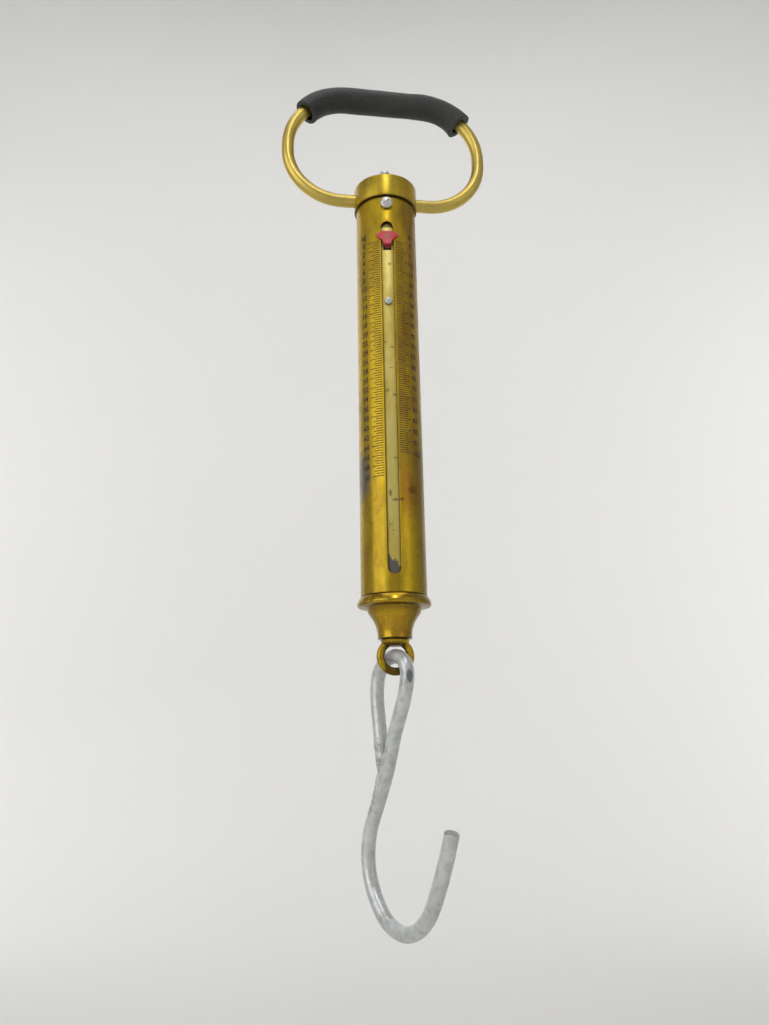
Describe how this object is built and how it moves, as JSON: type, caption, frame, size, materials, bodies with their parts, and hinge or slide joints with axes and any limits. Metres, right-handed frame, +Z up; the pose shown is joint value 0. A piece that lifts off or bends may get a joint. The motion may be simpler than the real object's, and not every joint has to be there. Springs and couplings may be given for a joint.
{
  "type": "hanging spring scale",
  "caption": "Tubular hanging spring balance with a folding bow handle, a slotted brass case, a red sliding pointer, a swivel eye and a wire hook.",
  "frame": {"origin": "hang point: the middle of the underside of the handle's grip, where a hand or a hook overhead holds the scale", "axes": "+Z up along the tube towards the handle, -Y towards the slot, pointer and scales, +X to the right of someone who reads them"},
  "size_m": [0.1136, 0.0542, 0.443],
  "materials": {
    "brass": "aged, turned and hand polished, with tarnish",
    "anchor_brass": "as turned",
    "pale_brass": "dull, pale, with dark specks",
    "grip_rubber": "matte black hose",
    "steel": "plain steel fasteners",
    "spring_steel": "oiled spring wire",
    "red_paint": "red paint, worn at the edges",
    "zinc_wire": "dull galvanised wire"
  },
  "bodies": {
    "handle": {"handle_ring": "brass", "grip_sleeve": "grip_rubber"},
    "casing": {"top_cap": "brass", "casing_tube": "brass", "cap_screw_front": "steel", "cap_screw_back": "steel", "stud_washer": "steel", "spring": "spring_steel"},
    "adjusting_nut": {"zero_nut": "steel", "lock_nut": "steel"},
    "stud": {"zero_stud": "steel", "upper_spring_anchor": "anchor_brass"},
    "load": {"inner_tube": "pale_brass", "pointer": "red_paint", "stop_screw": "steel", "lower_spring_anchor": "anchor_brass", "anchor_pin": "steel", "load_bell": "brass", "bell_pin_left": "steel", "bell_pin_right": "steel"},
    "eye": {"swivel_eye": "brass", "eye_washer": "steel", "eye_nut": "steel"},
    "hook": {"hook": "zinc_wire"}
  },
  "joints": [
    {"name": "handle_pivot", "type": "hinge", "parent": "handle", "child": "casing", "pos_m": [0, 0, -0.0594], "axis": [0.9925, 0.1219, 0], "range_deg": [-150, 150]},
    {"name": "load_slide", "type": "slide", "parent": "casing", "child": "load", "axis": [0, 0, -1], "range_m": [0, 0.139], "stiffness_N_per_m": 3813, "springref_m": -0.0015, "deforming": ["spring"]},
    {"name": "zero_turn", "type": "hinge", "parent": "casing", "child": "adjusting_nut", "pos_m": [0, 0, -0.0527], "axis": [0, 0, 1], "range_deg": [-541, 541]},
    {"name": "zero_slide", "type": "slide", "parent": "casing", "child": "stud", "axis": [0, 0, 1], "range_m": [-0.0015, 0.0015]},
    {"name": "eye_swivel", "type": "hinge", "parent": "load", "child": "eye", "pos_m": [0, 0, -0.2986], "axis": [0, 0, 1], "continuous": true},
    {"name": "hook_swing", "type": "hinge", "parent": "eye", "child": "hook", "pos_m": [0, 0, -0.31335], "axis": [0.809, 0.5878, 0], "range_deg": [-60, 26]}
  ],
  "couplings": [
    {"joint": "zero_turn", "follows": "zero_slide", "rad_per_m": -6283.2}
  ]
}
